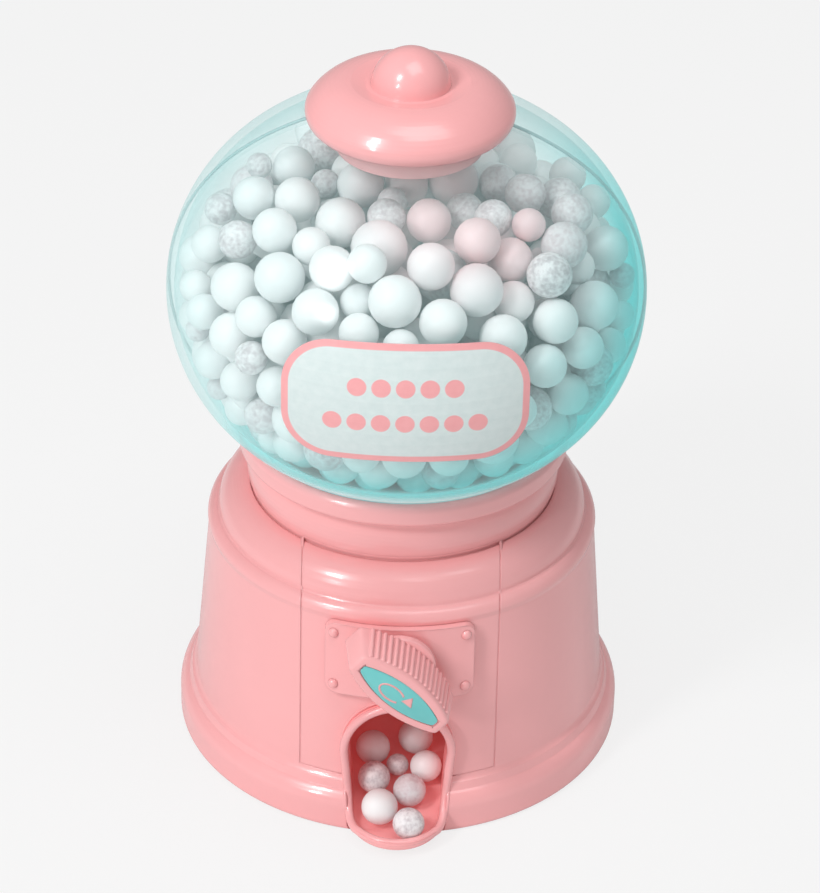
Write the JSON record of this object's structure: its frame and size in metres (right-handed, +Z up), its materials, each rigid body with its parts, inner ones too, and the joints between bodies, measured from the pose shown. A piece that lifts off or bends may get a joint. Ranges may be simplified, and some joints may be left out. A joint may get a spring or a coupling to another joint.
{
  "type": "gumball machine",
  "caption": "Small countertop gumball machine: clear globe on a stepped round base, lift-off lid, thumb-turn paddle wheel, and an arched chute with a scoop tray.",
  "frame": {"origin": "centre of the foot's flat ring, on the surface that the machine stands on", "axes": "+Z up through the globe and lid, -Y towards the front with the knob and tray, +X to the right seen from the front"},
  "size_m": [0.084, 0.0896, 0.1363],
  "materials": {
    "lid": "smooth gloss",
    "pink_shell": "smooth gloss",
    "pink_trim": "satin gloss",
    "pink_inner": "satin",
    "globe": "clear moulded plastic with a faint aqua tint",
    "label": "satin sticker",
    "gumball": "powdery sugar shell",
    "teal_inlay": "satin",
    "white_inner": "as moulded",
    "steel": "plated"
  },
  "bodies": {
    "machine": {"base_body": "pink_shell", "front_panel": "pink_shell", "bottom_cover": "pink_trim", "cover_screws": "steel", "chute": "pink_shell", "tray_gumballs": "gumball", "knob_plate": "pink_shell", "plate_rivets": "pink_shell", "front_bush": "white_inner", "rear_bush": "white_inner", "wheel_housing": "white_inner", "housing_cap": "white_inner", "housing_screws": "steel", "hopper": "white_inner", "globe_collar": "pink_shell", "globe_front": "globe", "globe_back": "globe", "gumballs": "gumball", "label": "label"},
    "rotor": {"drive_shaft": "white_inner", "paddle_wheel": "pink_inner", "shaft_washer": "steel", "shaft_screw": "steel", "knob": "pink_trim", "knob_inlay": "teal_inlay"},
    "lid": {"lid": "lid"}
  },
  "joints": [
    {"name": "knob_turn", "type": "hinge", "parent": "machine", "child": "rotor", "pos_m": [0, 0, 0.0358], "axis": [0, 1, 0], "continuous": true},
    {"name": "lid_lift", "type": "slide", "parent": "machine", "child": "lid", "axis": [0, 0, 1], "range_m": [0, 0.03]}
  ]
}
